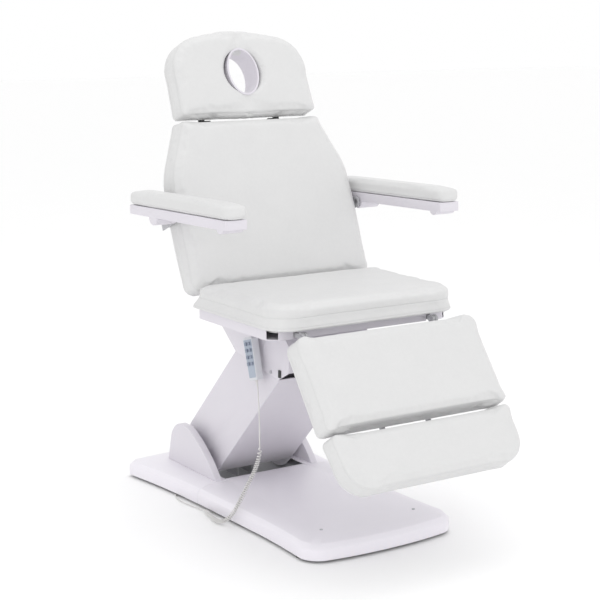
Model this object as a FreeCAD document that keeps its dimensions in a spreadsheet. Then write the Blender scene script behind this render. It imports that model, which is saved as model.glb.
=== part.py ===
"""Facial treatment bed: a lifting base, a reclining padded couch and a corded handset.

Lengths are millimetres. X runs across the bed, +Y towards the head, +Z up. The driving sizes
stand in the Sizes sheet. Each tilting section (back, head, leg and foot, lift arm) is drawn
lying flat in a frame of its own, with +Z as its padded side, and that frame is then turned.
"""
import FreeCAD
import Part

import math
import os

import Sketcher
from FreeCAD import Placement, Rotation, Vector

DOC = FreeCAD.newDocument("treatment_bed")
SHEET = DOC.addObject("Spreadsheet::Sheet", "Sizes")
NODES = {}

SIZES = {
    # frame and stance
    "base_shift": 122.0,        # the base's own centre along Y
    "base_front_end": 532.0,
    "base_rear_end": 538.0,
    "base_rear_half": 299.0,
    "base_front_half": 262.0,
    "cover_low": 8.0,
    "cover_edge": 40.0,         # top of the cover's upright edge
    "cover_top": 64.0,
    "cover_bevel": 48.0,
    "cover_wall": 4.0,
    "cover_seam": 120.0,        # where front and rear covers meet
    # lift arm
    "pivot_y": 290.0,
    "pivot_z": 128.0,
    "lift_angle": 45.5,
    "lift_length": 470.0,
    "arm_half_width": 141.0,
    "arm_half_depth": 104.0,
    "arm_front_end": -547.0,    # where the casing's front and rear walls end, along the arm
    "arm_rear_end": -480.0,
    "link_y": 55.0,             # levelling link's pins, from the main pins
    "link_z": 35.0,
    # carriage
    "carriage_half": 146.0,
    "carriage_top": 620.0,
    # couch
    "couch_half": 325.0,
    "pad_depth": 72.0,
    "board_depth": 9.0,
    "seat_low": 650.0,
    "seat_front": -440.0,
    "back_y": 12.0,
    "back_z": 716.0,
    "back_angle": 68.5,
    "back_length": 517.0,
    "head_start": 520.5,
    "head_end": 806.0,
    "head_half": 248.0,
    "hole_s": 662.0,            # face hole's centre, along the back
    "hole_half_width": 56.0,
    "hole_half_length": 77.0,
    "leg_y": -511.7,
    "leg_z": 665.1,
    "leg_angle": 54.0,
    "leg_length": 284.0,
    "foot_start": 287.5,
    "foot_end": 460.0,
    "foot_half": 308.0,
    # armrests
    "rest_inner": 334.0,
    "rest_outer": 408.0,
    "rest_front": -430.0,       # along the armrest, from its pivot
    "rest_rear": 154.0,
    "rest_seam": 29.0,
    "rest_height": 70.0,
    "rest_tilt": 1.3,
    "rest_pivot_y": 108.0,
    "rest_pivot_z": 915.0,
    # handset
    "handset_y": -56.0,
    "handset_z": 560.0,
    "handset_tilt": 16.0,
    "handset_front": -184.0,
    "handset_back": -161.0,
    "handset_half": 26.0,
    "handset_length": 130.0,
    "lead_radius": 2.3,
    "curl_radius": 7.0,
}


class Size:
    """A length with its number and the sheet expression that it comes from."""

    def __init__(self, value, text):
        self.value = float(value)
        self.text = text

    def __add__(self, other):
        other = as_size(other)
        return Size(self.value + other.value, "(%s + %s)" % (self.text, other.text))

    def __radd__(self, other):
        return as_size(other) + self

    def __sub__(self, other):
        other = as_size(other)
        return Size(self.value - other.value, "(%s - %s)" % (self.text, other.text))

    def __rsub__(self, other):
        return as_size(other) - self

    def __mul__(self, other):
        other = as_size(other)
        return Size(self.value * other.value, "(%s * %s)" % (self.text, other.text))

    def __rmul__(self, other):
        return as_size(other) * self

    def __neg__(self):
        return Size(-self.value, "(0 - %s)" % self.text)


def as_size(number):
    """A plain number as a Size."""
    return number if isinstance(number, Size) else Size(number, repr(float(number)))


def size(name):
    """The sheet's value of that name."""
    return Size(SIZES[name], "Sizes." + name)


def fill_sheet():
    """Writes each driving size into the sheet, with its alias."""
    for row, (name, value) in enumerate(SIZES.items(), start=1):
        SHEET.set("A%d" % row, name)
        SHEET.set("B%d" % row, str(value))
        SHEET.setAlias("B%d" % row, name)
    DOC.recompute()


def turn_parts(angle):
    """Cosine and sine of a Size in degrees."""
    turn = math.radians(angle.value)
    return (Size(math.cos(turn), "cos(%s * 1deg)" % angle.text),
            Size(math.sin(turn), "sin(%s * 1deg)" % angle.text))


def bind(thing, prop, number):
    """Binds one property of an object to a Size."""
    thing.setExpression(prop, as_size(number).text)


# ---- frames: the base stands level, the others turn about X -------------------------------

LEVEL = (size("base_shift"), 0.0, 0.0)
ARM = (size("base_shift") + size("pivot_y"), size("pivot_z"), -size("lift_angle"))
BACK = (size("base_shift") + size("back_y"), size("back_z"), size("back_angle"))
LEG = (size("base_shift") + size("leg_y"), size("leg_z"), size("leg_angle"))
REST = (size("base_shift") + size("rest_pivot_y"), size("rest_pivot_z"), -size("rest_tilt"))
TIE = (ARM[0] + size("link_y"), ARM[1] + size("link_z"), ARM[2])
ARM_COS, ARM_SIN = turn_parts(size("lift_angle"))
CARRIAGE = (ARM[0] - size("lift_length") * ARM_COS, ARM[1] + size("lift_length") * ARM_SIN, 0.0)
HANDSET = (size("base_shift") + size("handset_y"), size("handset_z"), -size("handset_tilt"))


def place(thing, frame):
    """Puts a body into one of the frames."""
    y, z, angle = (as_size(number) for number in frame)
    thing.Placement = Placement(Vector(0, y.value, z.value), Rotation(Vector(1, 0, 0), angle.value))
    bind(thing, "Placement.Base.y", y)
    bind(thing, "Placement.Base.z", z)
    bind(thing, "Placement.Rotation.Angle", angle)


# ---- building blocks -----------------------------------------------------------------------

def new_body(label, frame=LEVEL):
    """An empty body that becomes the node of that label."""
    body = DOC.addObject("PartDesign::Body", label)
    body.Label = label
    place(body, frame)
    NODES[label] = body
    return body


def origin_plane(body, role):
    """The body's own origin plane of that role."""
    return next(plane for plane in body.Origin.OriginFeatures if plane.Role == role)


def block(body, x, y, z, cut=False):
    """Adds or cuts a box between pairs of coordinates."""
    kind = "PartDesign::SubtractiveBox" if cut else "PartDesign::AdditiveBox"
    box = body.newObject(kind, "block")
    for prop, pair in zip(("Length", "Width", "Height"), (x, y, z)):
        bind(box, prop, as_size(pair[1]) - pair[0])
    for axis, pair in zip("xyz", (x, y, z)):
        bind(box, "Placement.Base." + axis, pair[0])
    return box


TURNS = {"x": Rotation(Vector(0, 1, 0), 90), "y": Rotation(Vector(1, 0, 0), -90), "z": Rotation()}


def rod(body, axis, radius, centre, span, cut=False):
    """Adds or cuts a cylinder along an axis; centre gives the two other coordinates."""
    kind = "PartDesign::SubtractiveCylinder" if cut else "PartDesign::AdditiveCylinder"
    cylinder = body.newObject(kind, "rod")
    cylinder.Placement = Placement(Vector(), TURNS[axis])
    bind(cylinder, "Radius", radius)
    bind(cylinder, "Height", as_size(span[1]) - span[0])
    others = iter(centre)
    for name in "xyz":
        bind(cylinder, "Placement.Base." + name, span[0] if name == axis else next(others))
    return cylinder


def arc_centre(start, end, radius):
    """Centre of the arc from start to end: a positive radius bulges to the path's right."""
    chord = end - start
    middle = (start + end) * 0.5
    side = Vector(-chord.y, chord.x, 0).normalize()
    depth = math.sqrt(max(radius * radius - chord.Length ** 2 / 4, 0.0))
    return middle + side * math.copysign(depth, radius)


def outline(body, plane, corners, offset=0.0):
    """A closed sketch through corners (x, y) or (x, y, radius of the arc to the next corner)."""
    sketch = body.newObject("Sketcher::SketchObject", "outline")
    sketch.AttachmentSupport = [(origin_plane(body, plane), "")]
    sketch.MapMode = "FlatFace"
    bind(sketch, "AttachmentOffset.Base.z", offset)
    corners = [tuple(as_size(number) for number in corner) for corner in corners]
    points = [Vector(corner[0].value, corner[1].value, 0) for corner in corners]
    starts = []
    for index, corner in enumerate(corners):
        start, end = points[index], points[(index + 1) % len(points)]
        if len(corner) == 2:
            starts.append((sketch.addGeometry(Part.LineSegment(start, end)), 1, 2))
            continue
        radius = corner[2].value
        centre = arc_centre(start, end, radius)
        circle = Part.Circle(centre, Vector(0, 0, 1), abs(radius))
        first, last = (start, end) if radius > 0 else (end, start)
        angles = [math.atan2(p.y - centre.y, p.x - centre.x) for p in (first, last)]
        if angles[1] < angles[0]:
            angles[1] += 2 * math.pi
        edge = sketch.addGeometry(Part.ArcOfCircle(circle, angles[0], angles[1]))
        starts.append((edge, 1, 2) if radius > 0 else (edge, 2, 1))
    for index, corner in enumerate(corners):
        edge, first, last = starts[index]
        following = starts[(index + 1) % len(starts)]
        sketch.addConstraint(Sketcher.Constraint("Coincident", edge, last, following[0], following[1]))
        for kind, number in (("DistanceX", corner[0]), ("DistanceY", corner[1])):
            made = sketch.addConstraint(Sketcher.Constraint(kind, -1, 1, edge, first, number.value))
            bind(sketch, "Constraints[%d]" % made, number)
        if len(corner) == 3:
            length = corner[2] if corner[2].value > 0 else -corner[2]
            made = sketch.addConstraint(Sketcher.Constraint("Radius", edge, length.value))
            bind(sketch, "Constraints[%d]" % made, length)
    return sketch


def prism(body, plane, corners, span, cut=False):
    """Pads or pockets an outline between two heights along its plane's normal."""
    sketch = outline(body, plane, corners, span[0])
    feature = body.newObject("PartDesign::Pocket" if cut else "PartDesign::Pad", "prism")
    feature.Profile = sketch
    bind(feature, "Length", as_size(span[1]) - span[0])
    feature.Reversed = cut
    return feature


def dress(body, kind, amount, wanted):
    """Fillets or chamfers the edges of the body's last feature that wanted picks."""
    DOC.recompute()
    base = body.Tip
    edges = ["Edge%d" % number for number, edge in enumerate(base.Shape.Edges, start=1) if wanted(edge)]
    feature = body.newObject("PartDesign::" + kind, kind.lower())
    feature.Base = (base, edges)
    bind(feature, "Radius" if kind == "Fillet" else "Size", amount)
    return feature


def loft(body, sections, cut=False):
    """Adds or cuts a straight-sided loft between outlines at two heights."""
    sketches = [outline(body, "XY_Plane", corners, height) for corners, height in sections]
    feature = body.newObject("PartDesign::SubtractiveLoft" if cut else "PartDesign::AdditiveLoft", "loft")
    feature.Profile = sketches[0]
    feature.Sections = sketches[1:]
    feature.Ruled = True
    return feature


def upright(edge):
    """Whether an edge runs along the body's own Z."""
    span = edge.BoundBox
    return span.ZLength > 1.0 and span.XLength < 1e-3 and span.YLength < 1e-3


def mirrored(points):
    """A half outline (from the front centre round the +X side) closed by its mirror image."""
    half = [tuple(as_size(number) for number in point) for point in points]
    back = []
    for index in range(len(half) - 1, -1, -1):
        corner = (-half[index][0], half[index][1])
        if index and len(half[index - 1]) == 3:
            corner += (half[index - 1][2],)
        back.append(corner)
    return half + back


def group(label, pieces):
    """One node made of several separate solids that are alike."""
    compound = DOC.addObject("Part::Compound", label)
    compound.Label = label
    compound.Links = pieces
    place(compound, LEVEL)
    NODES[label] = compound
    return compound


def loose_rod(radius, length, x, y, z, axis="z"):
    """A cylinder for a group, standing at x, y, z."""
    cylinder = DOC.addObject("Part::Cylinder", "piece")
    cylinder.Placement = Placement(Vector(), TURNS[axis])
    bind(cylinder, "Radius", radius)
    bind(cylinder, "Height", length)
    for name, number in zip("xyz", (x, y, z)):
        bind(cylinder, "Placement.Base." + name, number)
    return cylinder


# ---- base ----------------------------------------------------------------------------------

def front_outline(inset):
    """Outline of the front cover: bowed front edge, round corners, a slight waist."""
    tip = -size("base_front_end") + inset
    half = size("base_front_half") - inset
    return mirrored([
        (30.0, tip, 1250.0),
        (half - 54.0, tip + 16.0, 66.0),
        (half - 2.0, tip + 74.0, -2400.0),
        (half - 10.0, -240.0),
        (half, size("cover_seam") - 0.4),
    ])


def rear_outline(inset):
    """Outline of the rear cover, spreading to square rear corners."""
    end = size("base_rear_end") - inset
    corner = size("base_rear_half") - inset
    return mirrored([
        (size("base_front_half") - inset, size("cover_seam") + 0.4, -3000.0),
        (corner, end - 34.0, 26.0),
        (corner - 26.0, end - 12.0, 2400.0),
        (20.0, end),
    ])


def cover_shell(label, draw):
    """One moulded half of the base cover: upright edge, rounded bevel, flat top, hollow below."""
    body = new_body(label)
    low, edge, top = size("cover_low"), size("cover_edge"), size("cover_top")
    wall, bevel = size("cover_wall"), size("cover_bevel")
    shoulder, shoulder_drop = 12.0, 9.0
    prism(body, "XY_Plane", draw(as_size(0.0)), (low, edge))
    loft(body, [(draw(as_size(0.0)), edge), (draw(as_size(shoulder)), top - shoulder_drop), (draw(bevel), top)])
    prism(body, "XY_Plane", draw(wall), (low, edge - 1.0), cut=True)
    inner_top = top - wall
    loft(body, [(draw(wall), edge - 1.0), (draw(wall + shoulder), inner_top - shoulder_drop), (draw(bevel), inner_top)],
         cut=True)
    return body


def front_cover():
    """Front half of the base cover, with a tongue that runs back under the lift arm."""
    body = cover_shell("front_cover", front_outline)
    seam, top = size("cover_seam"), size("cover_top")
    block(body, (-148.0, 148.0), (seam - 10.0, seam + 19.6), (top - size("cover_wall"), top))


def rear_cover():
    """Rear half of the base cover, open between the fins and at the power inlet."""
    body = cover_shell("rear_cover", rear_outline)
    block(body, (-150.0, 150.0), (size("cover_seam") - 2.0, 412.0), (0.0, 80.0), cut=True)
    end = size("base_rear_end")
    block(body, (-150.5, -109.5), (end - 32.0, end + 2.0), (11.5, 38.5), cut=True)
    for side in (-1.0, 1.0):
        inner, outer = sorted((side * 176.0, side * 186.0))
        block(body, (inner, outer), (252.0, 338.0), (40.0, 80.0), cut=True)


FIN_FOOT = size("cover_top")


def fin_outline(inset):
    """Side outline of a fin: sloping convex front, round top, steep rear."""
    return [
        (as_size(124.0) + inset * 2.0, FIN_FOOT),
        (as_size(434.0) - inset, FIN_FOOT),
        (as_size(414.0) - inset, 146.0, 78.0),
        (352.0, as_size(201.0) - inset),
        (as_size(306.0) + inset * 0.4, as_size(200.0) - inset, 430.0),
    ]


def fin_covers():
    """The two moulded cheeks that stand either side of the lift arm's pivot."""
    for name, side in (("left_fin_cover", -1.0), ("right_fin_cover", 1.0)):
        body = new_body(name)
        prism(body, "YZ_Plane", fin_outline(as_size(0.0)), sorted((side * 169.0, side * 192.0)))
        prism(body, "YZ_Plane", fin_outline(as_size(3.0)), sorted((side * 172.0, side * 189.0)), cut=True)
        block(body, sorted((side * 172.0, side * 189.0)), (252.0, 338.0), (50.0, 62.0), cut=True)
        rod(body, "x", 17.0, (size("pivot_y"), size("pivot_z")), sorted((side * 168.0, side * 173.0)), cut=True)


def base_frame():
    """Welded floor frame: rails, cross rails out to the feet, shaft brackets, link stand."""
    body = new_body("base_frame")
    low, high = 14.0, 38.0
    for side in (-1.0, 1.0):
        block(body, sorted((side * 152.0, side * 190.0)), (-450.0, 470.0), (low, high))
    for start, half in ((-450.0, 250.0), (60.0, 160.0), (430.0, 250.0)):
        block(body, (-as_size(half), half), (start, start + 40.0), (low, high))
    block(body, (-160.0, 160.0), (236.0, 400.0), (low, 20.0))
    pivot_y, pivot_z = size("pivot_y"), size("pivot_z")
    link_y, link_z = pivot_y + size("link_y"), pivot_z + size("link_z")
    for side in (-1.0, 1.0):
        bracket = [(256.0, high), (334.0, high), (pivot_y + 24.0, pivot_z + 22.0), (pivot_y - 24.0, pivot_z + 22.0)]
        prism(body, "YZ_Plane", bracket, sorted((side * 177.0, side * 185.0)))
        stand = [(262.0, 20.0), (388.0, 20.0), (link_y + 18.0, link_z + 16.0), (link_y - 24.0, link_z + 18.0),
                 (pivot_y - 24.0, pivot_z + 10.0)]
        prism(body, "YZ_Plane", stand, sorted((side * 24.0, side * 32.0)))
    rod(body, "x", 15.0, (pivot_y, pivot_z), (-190.0, 190.0), cut=True)
    rod(body, "x", 8.0, (link_y, link_z), (-40.0, 40.0), cut=True)


def levelling_feet():
    """Four screw feet, each a pad with its stem."""
    pieces = []
    for x in (-232.0, 232.0):
        for y in (-430.0, 450.0):
            pad = loose_rod(20.0, 8.0, x, y, 0.0)
            stem = loose_rod(6.0, 6.0, x, y, 8.0)
            foot = DOC.addObject("Part::Fuse", "foot")
            foot.Base, foot.Tool = pad, stem
            pieces.append(foot)
    group("levelling_feet", pieces)


def base_shafts():
    """The main pivot shaft and the levelling link's lower pin."""
    body = new_body("main_shaft")
    rod(body, "x", 15.0, (size("pivot_y"), size("pivot_z")), (-185.0, 185.0))
    body = new_body("link_pin_lower")
    rod(body, "x", 8.0, (size("pivot_y") + size("link_y"), size("pivot_z") + size("link_z")), (-36.0, 36.0))


def base_electrics():
    """Control box, power inlet and the handset cord's gland."""
    body = new_body("control_box")
    block(body, (-95.0, 95.0), (-390.0, -230.0), (14.0, 46.0))
    dress(body, "Fillet", 5.0, upright)
    body = new_body("power_inlet")
    end = size("base_rear_end")
    block(body, (-150.0, -110.0), (end - 30.0, end - 5.0), (12.0, 38.0))
    block(body, (-143.0, -117.0), (end - 18.0, end), (17.0, 33.0), cut=True)
    for x in (-137.0, -130.0, -123.0):
        block(body, (x - 1.0, x + 1.0), (end - 18.5, end - 8.0), (21.0, 29.0))
    body = new_body("cord_gland")
    rod(body, "x", 6.0, (286.0, 20.0), (-206.0, -190.0))
    rod(body, "x", 8.0, (286.0, 22.0), (-193.0, -190.0))


def cover_caps():
    """Round caps over the cover's screws."""
    top = size("cover_top")
    group("cover_caps", [loose_rod(5.0, 1.2, x, y, top) for x in (-165.0, 165.0) for y in (-425.0, 460.0)])


# ---- lift arm ------------------------------------------------------------------------------

def lift_arm_cover():
    """Box casing of the lift arm, open at both ends, with holes for the main shaft."""
    body = new_body("lift_arm_cover", ARM)
    half, depth = size("arm_half_width"), size("arm_half_depth")
    front = size("arm_front_end")
    rear = size("arm_rear_end")
    prism(body, "YZ_Plane", [(front, -depth), (0.0, -depth), (0.0, depth), (rear, depth)], (-half, half))
    rod(body, "x", depth, (0.0, 0.0), (-half, half))
    inner = depth - 4.0
    block(body, (4.0 - half, half - 4.0), (front - 20.0, depth + 10.0), (-inner, inner), cut=True)
    block(body, (4.0 - half, half - 4.0), (-20.0, depth + 10.0), (-depth - 1.0, 0.0), cut=True)
    block(body, (4.0 - half, half - 4.0), (0.0, depth + 10.0), (-1.0, depth + 1.0), cut=True)
    rod(body, "x", 17.0, (0.0, 0.0), (-half - 1.0, half + 1.0), cut=True)


def lift_beams():
    """The twin steel beams that carry the couch, joined by a cross tube."""
    body = new_body("lift_beams", ARM)
    reach = -size("lift_length")
    for side in (-1.0, 1.0):
        span = sorted((side * 60.0, side * 84.0))
        block(body, span, (reach, 0.0), (-24.0, 24.0))
        for y in (reach, as_size(0.0)):
            rod(body, "x", 29.0, (y, 0.0), span)
    rod(body, "x", 16.0, (reach * 0.5, 0.0), (-62.0, 62.0))
    rod(body, "x", 15.05, (0.0, 0.0), (-90.0, 90.0), cut=True)
    rod(body, "x", 12.0, (reach, 0.0), (-90.0, 90.0), cut=True)
    body = new_body("upper_shaft", ARM)
    rod(body, "x", 12.0, (reach, 0.0), (-119.0, 119.0))


def levelling_link():
    """The bar above the beams that keeps the carriage level; its upper eye is the looser one."""
    body = new_body("levelling_link", TIE)
    reach = -size("lift_length")
    block(body, (-14.0, 14.0), (reach, 0.0), (-9.0, 9.0))
    for y in (reach, as_size(0.0)):
        rod(body, "x", 16.0, (y, 0.0), (-14.0, 14.0))
    rod(body, "x", 8.05, (0.0, 0.0), (-15.0, 15.0), cut=True)
    rod(body, "x", 8.6, (reach, 0.0), (-15.0, 15.0), cut=True)


# ---- carriage ------------------------------------------------------------------------------

def carriage_frame():
    """Steel head of the lift: four plates, a top plate, the link's pin and two tilt trunnions."""
    body = new_body("carriage_frame", CARRIAGE)
    plate = [
        (-100.0, 138.0), (-100.0, 40.0), (-60.0, -20.0), (-20.0, -28.0), (20.0, -28.0),
        (78.0, 16.0), (80.0, 48.0), (5.0, 92.0), (5.0, 138.0),
    ]
    for span in ((-32.0, -24.0), (24.0, 32.0), (-118.0, -110.0), (110.0, 118.0)):
        prism(body, "YZ_Plane", plate, span)
    block(body, (-118.0, 118.0), (-110.0, 72.0), (136.0, 144.0))
    tilt_y, tilt_z = tilt_pin()
    for side in (-1.0, 1.0):
        span = sorted((side * 60.0, side * 68.0))
        block(body, span, (tilt_y - 12.0, tilt_y + 12.0), (143.0, tilt_z))
        rod(body, "x", 12.0, (tilt_y, tilt_z), span)
        rod(body, "x", 6.0, (tilt_y, tilt_z), sorted((side * 60.0, side * 82.0)))
    rod(body, "x", 12.05, (0.0, 0.0), (-120.0, 120.0), cut=True)
    rod(body, "x", 8.0, (size("link_y"), size("link_z")), (-32.0, 32.0))


def tilt_pin():
    """Where the seat's tilt pin stands, from the carriage's main pin."""
    return 20.0 + size("base_shift") - CARRIAGE[0], 620.0 - CARRIAGE[1]


def carriage_cover():
    """Housing under the seat: two cheeks, a front wall and the handset's hook; open behind."""
    body = new_body("carriage_cover")
    half, top = size("carriage_half"), size("carriage_top")
    corners = [(238.0, top), (-158.0, top), (-227.0, 558.0), (-227.0, 478.0), (-168.0, 446.0), (72.0, 487.0)]
    prism(body, "YZ_Plane", corners, (-half, half))
    inner = [(300.0, top + 10.0), (-154.0, top + 10.0), (-154.0, top), (-223.0, 556.0), (-223.0, 400.0), (300.0, 400.0)]
    prism(body, "YZ_Plane", inner, (4.0 - half, half - 4.0), cut=True)
    block(body, (-150.0, -half), (-70.0, -46.0), (552.0, 578.0))
    block(body, (-158.0, -149.0), (-68.0, -48.0), (560.0, 564.0))
    block(body, (-158.0, -155.5), (-68.0, -48.0), (563.0, 573.8))


def carriage_trim():
    """Rubber buffer and screw caps on the housing's cheeks."""
    half = size("carriage_half")
    body = new_body("buffer")
    block(body, (-half - 4.0, -half), (-186.0, -174.0), (456.0, 478.0))
    dress(body, "Fillet", 1.2, upright)
    group("cheek_caps", [loose_rod(5.0, 2.5, x, -130.0, 463.0, axis="x") for x in (-half - 2.5, half)])


# ---- seat ----------------------------------------------------------------------------------

def seat_cushion():
    """Seat pad: round front corners, rear end sloped to lie under the back."""
    body = new_body("seat_cushion")
    half, front, low = size("couch_half"), size("seat_front"), size("seat_low")
    block(body, (-half, half), (front, 24.0), (low, low + size("pad_depth")))
    dress(body, "Fillet", 88.0, lambda edge: upright(edge) and edge.BoundBox.YMin < -100)
    slope = [(-8.0, 730.0), (-6.0, 700.0), (26.0, 662.0), (40.0, 662.0), (40.0, 730.0)]
    prism(body, "YZ_Plane", slope, (-half - 1.0, half + 1.0), cut=True)


def seat_board():
    """Plywood base of the seat pad."""
    body = new_body("seat_board")
    low = size("seat_low")
    half = size("couch_half") - 30.0
    block(body, (-half, half), (-390.0, 16.0), (low - size("board_depth"), low))
    dress(body, "Fillet", 40.0, upright)


def seat_pan():
    """Moulded tray under the seat, open over the carriage and notched for the hinges."""
    body = new_body("seat_pan")
    low, rim = 622.0, size("seat_low")
    block(body, (-314.0, 314.0), (-395.0, 30.0), (low, rim))
    dress(body, "Fillet", 42.0, upright)
    block(body, (-311.0, 311.0), (-392.0, 27.0), (low + 3.0, rim + 1.0), cut=True)
    block(body, (-152.0, 152.0), (-240.0, 60.0), (low - 1.0, low + 4.0), cut=True)
    block(body, (-152.0, 152.0), (20.0, 60.0), (low - 1.0, 642.0), cut=True)
    for side in (-1.0, 1.0):
        block(body, sorted((side * 197.0, side * 224.0)), (10.0, 60.0), (low - 1.0, rim + 1.0), cut=True)
        block(body, sorted((side * 225.0, side * 239.0)), (-430.0, -380.0), (low - 1.0, rim + 1.0), cut=True)


def seat_frame():
    """Steel frame in the tray, with lugs for the tilt pin, the back hinge and the leg hinge."""
    body = new_body("seat_frame")
    low, high = 626.0, 641.0
    for side in (-1.0, 1.0):
        block(body, sorted((side * 196.0, side * 236.0)), (-386.0, 12.0), (low, high))
    block(body, (-200.0, 200.0), (-386.0, -360.0), (low, high))
    block(body, (-200.0, 200.0), (-14.0, 12.0), (633.0, high))
    back_y, back_z = 44.0, 662.0
    leg_y, leg_z = -425.0, 633.0
    for side in (-1.0, 1.0):
        lug = sorted((side * 200.0, side * 210.0))
        corners = [(0.0, 628.0), (36.0, 628.0), (56.0, 650.0), (56.0, 664.0), (48.0, 673.0), (38.0, 673.0),
                   (31.0, 664.0), (28.0, 641.0), (0.0, 641.0)]
        prism(body, "YZ_Plane", corners, lug)
        rod(body, "x", 5.0, (back_y, back_z), lug, cut=True)
        span = sorted((side * 228.0, side * 236.0))
        block(body, span, (leg_y, -380.0), (leg_z - 7.0, leg_z + 7.0))
        rod(body, "x", 12.0, (leg_y, leg_z), span)
        rod(body, "x", 5.0, (leg_y, leg_z), span, cut=True)
        tilt = sorted((side * 70.0, side * 78.0))
        block(body, tilt, (8.0, 32.0), (620.0, high))
        block(body, tilt, (-14.0, 10.0), (634.0, high))
        rod(body, "x", 12.0, (20.0, 620.0), tilt)
        rod(body, "x", 6.1, (20.0, 620.0), tilt, cut=True)


def pins():
    """The short pins of the back hinge, of the leg hinge and of the armrests."""
    for name, radius, y, z, start, length in (
        ("back_hinge_pins", 5.0, 44.0, 662.0, 199.0, 22.0),
        ("leg_hinge_pins", 5.0, -425.0, 633.0, 217.0, 20.0),
        ("rest_pins", 7.0, size("rest_pivot_y"), size("rest_pivot_z"), 328.5, 19.5),
    ):
        group(name, [loose_rod(radius, length, x, y, z, axis="x") for x in (-as_size(start) - length, start)])


# ---- back ----------------------------------------------------------------------------------

def back_outline(inset):
    """Outline of the back pad: square foot, widest at the waist, shoulders in to a narrow top."""
    half = size("couch_half") - inset
    top = size("back_length") - inset
    return mirrored([
        (half - 36.0, inset - 18.0, 36.0),
        (half - 2.0, inset + 18.0, 3000.0),
        (half, 290.0, 260.0),
        (half - 26.0, 400.0),
        (size("head_half") - inset + 8.0, top - 16.0, 20.0),
        (size("head_half") - inset - 8.0, top),
    ])


def back_pad():
    """Back cushion and its plywood board."""
    depth, board = size("pad_depth"), size("board_depth")
    body = new_body("back_cushion", BACK)
    prism(body, "XY_Plane", back_outline(as_size(0.0)), (-depth, 0.0))
    body = new_body("back_board", BACK)
    prism(body, "XY_Plane", back_outline(as_size(26.0)), (-depth - board, -depth))


def back_frame():
    """Steel spine of the back, its hinge lugs and the plates that carry the armrests."""
    body = new_body("back_frame", BACK)
    high = -size("pad_depth") - size("board_depth")
    low = high - 25.0
    block(body, (-60.0, 60.0), (-10.0, 468.0), (low, high))
    block(body, (-220.0, 220.0), (-10.0, 30.0), (high - 8.0, high))
    block(body, (-328.5, 328.5), (208.0, 238.0), (low, high))
    for side in (-1.0, 1.0):
        lug = sorted((side * 212.0, side * 220.0))
        corners = [(40.0, low), (40.0, high), (-21.0, high), (-26.0, -50.0), (-31.0, -38.0), (-46.0, -38.0),
                   (-51.0, -52.0), (-44.0, low)]
        prism(body, "YZ_Plane", corners, lug)
        plate = sorted((side * 328.5, side * 332.5))
        prism(body, "YZ_Plane", [(200.0, low), (246.0, low), (236.0, -12.0), (228.0, -2.0), (212.0, -2.0), (204.0, -12.0)], plate)
        hinge_y, hinge_z = in_back(44.0, 662.0)
        rod(body, "x", 5.05, (hinge_y, hinge_z), lug, cut=True)
        rest_y, rest_z = in_back(size("rest_pivot_y"), size("rest_pivot_z"))
        rod(body, "x", 7.0, (rest_y, rest_z), plate, cut=True)


def in_back(y, z):
    """A level place (from the base centre) in the back's own frame."""
    cosine, sine = turn_parts(size("back_angle"))
    along_y = as_size(y) - size("back_y")
    along_z = as_size(z) - size("back_z")
    return along_y * cosine + along_z * sine, along_z * cosine - along_y * sine


# ---- head ----------------------------------------------------------------------------------

def head_outline(inset):
    """Outline of the headrest: straight foot and sides under a crowned top with round corners."""
    half = size("head_half") - inset
    end = size("head_end") - inset
    return mirrored([
        (half - 8.0, size("head_start") + inset),
        (half, size("head_start") + inset + 10.0),
        (half - 4.0, 646.0, 122.0),
        (142.0, end - 17.0, 620.0),
        (6.0, end),
    ])


def oval(body, half_width, half_length, span, cut):
    """An elliptical prism at the face hole."""
    sketch = body.newObject("Sketcher::SketchObject", "oval")
    sketch.AttachmentSupport = [(origin_plane(body, "XY_Plane"), "")]
    sketch.MapMode = "FlatFace"
    bind(sketch, "AttachmentOffset.Base.z", span[0])
    centre = Vector(0, size("hole_s").value, 0)
    tip = centre + Vector(0, half_length.value, 0)
    side = centre + Vector(-half_width.value, 0, 0)
    ellipse = sketch.addGeometry(Part.Ellipse(tip, side, centre))
    sketch.exposeInternalGeometry(ellipse)
    feature = body.newObject("PartDesign::Pocket" if cut else "PartDesign::Pad", "oval")
    feature.Profile = sketch
    bind(feature, "Length", as_size(span[1]) - span[0])
    feature.Reversed = cut


def headrest():
    """Head cushion and board with the oval face hole, and the ring that lines it."""
    depth, board = size("pad_depth"), size("board_depth")
    width, length = size("hole_half_width"), size("hole_half_length")
    body = new_body("head_cushion", BACK)
    prism(body, "XY_Plane", head_outline(as_size(0.0)), (-depth, 0.0))
    oval(body, width, length, (-depth - 1.0, 1.0), True)
    body = new_body("head_board", BACK)
    prism(body, "XY_Plane", head_outline(as_size(24.0)), (-depth - board, -depth))
    oval(body, width, length, (-depth - board - 1.0, 1.0 - depth), True)
    body = new_body("face_hole_ring", BACK)
    oval(body, width - 0.3, length - 0.3, (-depth - board - 2.0, -3.0), False)
    oval(body, width + 8.0, length + 8.0, (-depth - board - 2.0, -depth - board), False)
    oval(body, width - 6.0, length - 6.0, (-depth - board - 3.0, 0.0), True)


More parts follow.
